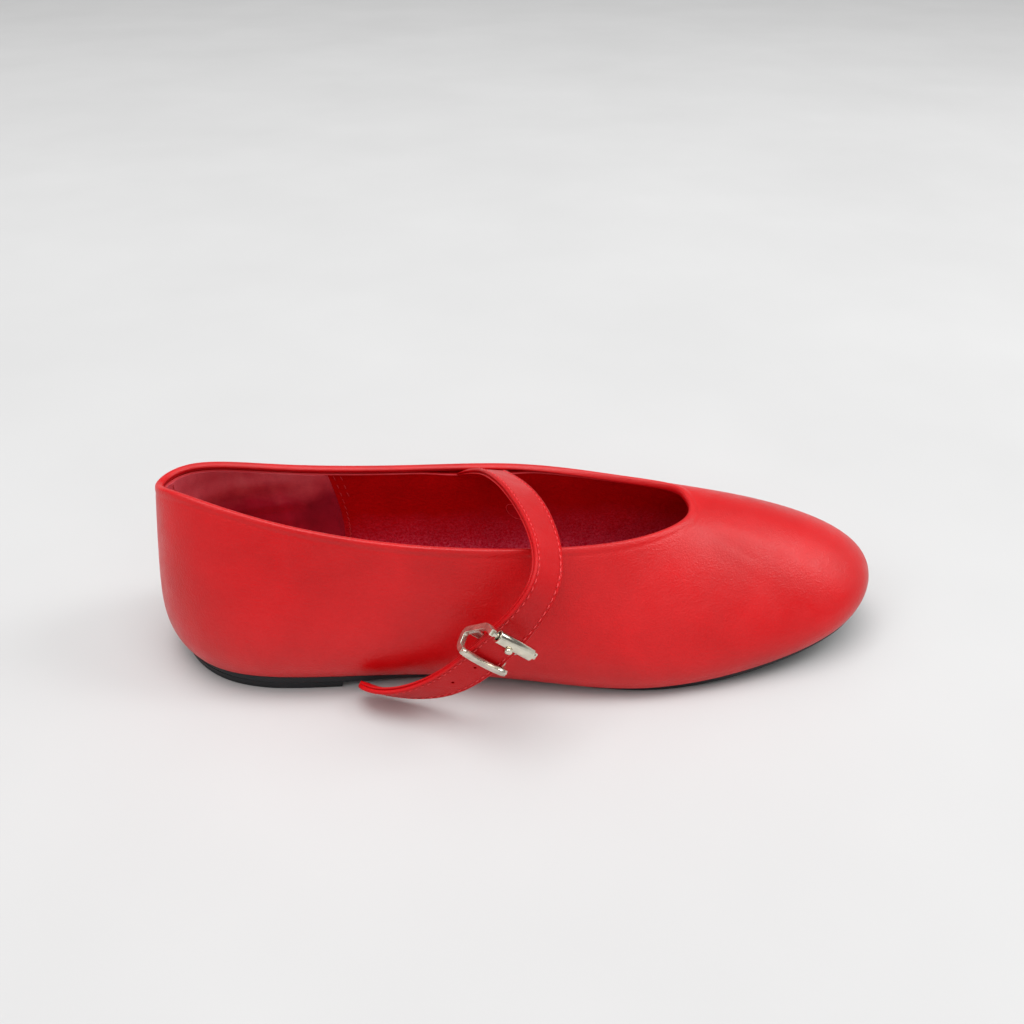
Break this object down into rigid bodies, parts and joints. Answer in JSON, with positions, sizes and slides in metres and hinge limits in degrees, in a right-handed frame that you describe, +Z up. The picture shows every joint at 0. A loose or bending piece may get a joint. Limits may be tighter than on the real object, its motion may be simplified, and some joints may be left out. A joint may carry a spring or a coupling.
{
  "type": "mary jane shoe",
  "caption": "Low flat shoe with a round toe, a deep open collar, a thin sole with a low heel, and one strap that a roller buckle fastens on the outer side.",
  "frame": {"origin": "on the ground, on the flat face of the heel lift under the middle of the heel", "axes": "+Z up, +X from the heel to the toe, +Y to the inner side of the foot"},
  "size_m": [0.25, 0.1018, 0.0648],
  "materials": {
    "upper_leather": "smooth semi-gloss red leather",
    "strap_leather": "smooth semi-gloss red leather, folded edges",
    "lining": "matt dark red leather",
    "sole": "matt black rubber",
    "buckle_metal": "polished nickel plate"
  },
  "bodies": {
    "root": {"upper": "upper_leather", "insole": "lining", "outsole": "sole", "heel_lift": "sole", "strap": "strap_leather", "buckle_strap": "strap_leather", "buckle_frame": "buckle_metal", "buckle_roller": "buckle_metal", "buckle_prong": "buckle_metal"}
  },
  "joints": []
}
